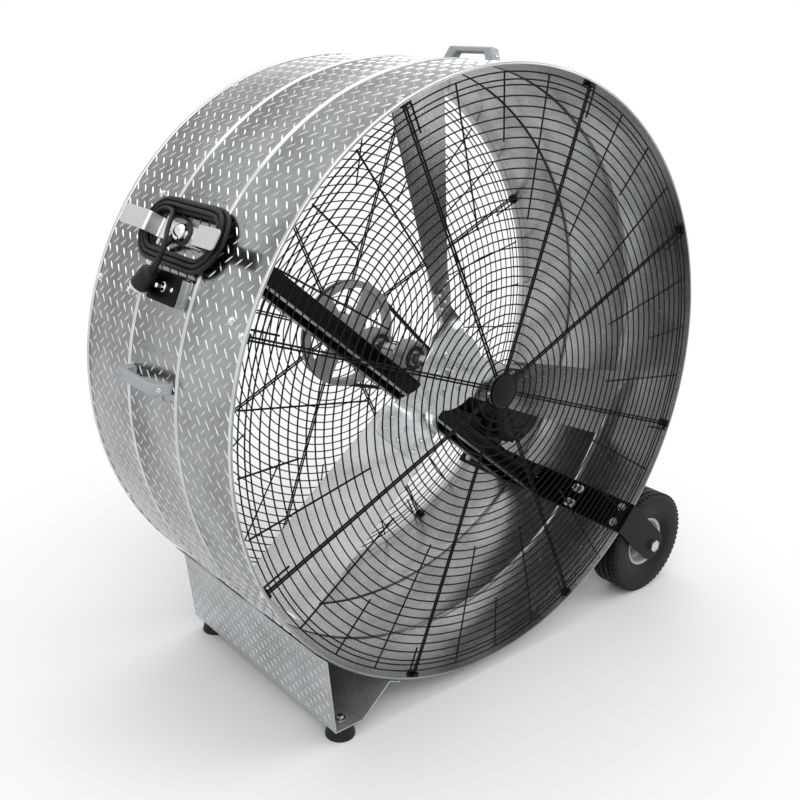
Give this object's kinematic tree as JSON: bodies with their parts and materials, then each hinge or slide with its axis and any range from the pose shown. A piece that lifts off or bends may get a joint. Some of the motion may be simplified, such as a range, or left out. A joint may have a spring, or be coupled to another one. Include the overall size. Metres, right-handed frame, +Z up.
{
  "type": "drum fan",
  "caption": "Wheeled drum fan: a steel drum with wire guards, a belt-driven bladed rotor on a crossbeam, a wheel carriage, a foot channel, a wound cord with plug, and a switch.",
  "frame": {"origin": "on the floor, under the middle of the fan's box, measured without the free cord", "axes": "+Z up; the drum's axis is along Y and the front guard with its badge faces -Y; +X is towards the wheel side"},
  "size_m": [1.3728, 0.5928, 1.3258],
  "materials": {
    "drum_steel": "galvanised sheet with an embossed tread",
    "guard_wire": "dark grey coated wire",
    "badge_plastic": "plain black, slightly domed",
    "foot_plate": "bright tread plate",
    "foot_rubber": "matt black",
    "black_paint": "glossy black enamel",
    "bearing_iron": "silver painted casting",
    "bearing_steel": "ground steel",
    "belt_rubber": "matt black V section",
    "motor_paint": "satin black",
    "shaft_steel": "bright bar",
    "pulley_grey": "grey painted casting",
    "spider_plate": "bright plate",
    "blade_sheet": "mill finish sheet",
    "tyre_rubber": "black, worn tread",
    "rim_plastic": "light grey",
    "handle_plastic": "dark grey moulding",
    "bracket_plate": "bright bent strip",
    "gland_chrome": "polished dome",
    "seal_rubber": "black ring",
    "cord_jacket": "black jacket",
    "plug_rubber": "moulded black",
    "plug_face": "white insulating face",
    "switch_steel": "zinc plated pressed box",
    "switch_black": "plain black plate",
    "toggle_chrome": "polished lever"
  },
  "bodies": {
    "root": {"drum_shell": "drum_steel", "front_guard": "guard_wire", "rear_guard": "guard_wire", "guard_badge": "badge_plastic", "foot_bracket": "foot_plate", "foot_front": "foot_rubber", "foot_rear": "foot_rubber", "rail_front": "black_paint", "rail_rear": "black_paint", "motor_plate": "black_paint", "motor_base": "black_paint", "wheel_bracket": "black_paint", "axle_spacer": "black_paint", "bearing_housing_front": "bearing_iron", "bearing_housing_rear": "bearing_iron", "bearing_insert_front": "bearing_steel", "bearing_insert_rear": "bearing_steel", "drive_belt": "belt_rubber", "motor_shell": "motor_paint", "motor_bell_front": "motor_paint", "motor_bell_rear": "motor_paint", "motor_box": "motor_paint", "wheel_axle": "shaft_steel", "axle_nut": "shaft_steel", "handle_side": "handle_plastic", "handle_top": "handle_plastic", "cord_bracket": "bracket_plate", "cord_gland": "gland_chrome", "gland_seal": "seal_rubber", "cord_lead": "cord_jacket", "cord_coil": "cord_jacket", "cord_tail": "cord_jacket", "plug_body": "plug_rubber", "plug_face": "plug_face", "switch_box": "switch_steel", "switch_cover": "switch_black", "switch_body": "switch_black"},
    "rotor": {"fan_shaft": "shaft_steel", "shaft_hub": "bearing_iron", "blade_spider": "spider_plate", "blade_1": "blade_sheet", "blade_2": "blade_sheet", "blade_3": "blade_sheet", "driven_pulley": "pulley_grey"},
    "motor_rotor": {"motor_shaft": "shaft_steel", "motor_pulley": "pulley_grey"},
    "wheel_front": {"tyre_front": "tyre_rubber", "rim_front": "rim_plastic", "wheel_bush_front": "bearing_steel"},
    "wheel_rear": {"tyre_rear": "tyre_rubber", "rim_rear": "rim_plastic", "wheel_bush_rear": "bearing_steel"},
    "toggle": {"switch_toggle": "toggle_chrome"}
  },
  "joints": [
    {"name": "rotor_spin", "type": "hinge", "parent": "root", "child": "rotor", "pos_m": [-0.01856, 0, 0.669], "axis": [0, 1, 0], "continuous": true},
    {"name": "motor_spin", "type": "hinge", "parent": "root", "child": "motor_rotor", "pos_m": [0.29587, 0.24, 0.48119], "axis": [0, 1, 0], "continuous": true},
    {"name": "wheel_front_spin", "type": "hinge", "parent": "root", "child": "wheel_front", "pos_m": [0.55359, -0.234, 0.133], "axis": [0, 1, 0], "continuous": true},
    {"name": "wheel_rear_spin", "type": "hinge", "parent": "root", "child": "wheel_rear", "pos_m": [0.55359, 0.234, 0.133], "axis": [0, 1, 0], "continuous": true},
    {"name": "switch_throw", "type": "hinge", "parent": "root", "child": "toggle", "pos_m": [-0.61788, -0.02585, 0.91725], "axis": [0.3827, 0, 0.9239], "range_deg": [0, 26]}
  ],
  "couplings": [
    {"joint": "motor_spin", "follows": "rotor_spin", "ratio": 3.7914}
  ]
}
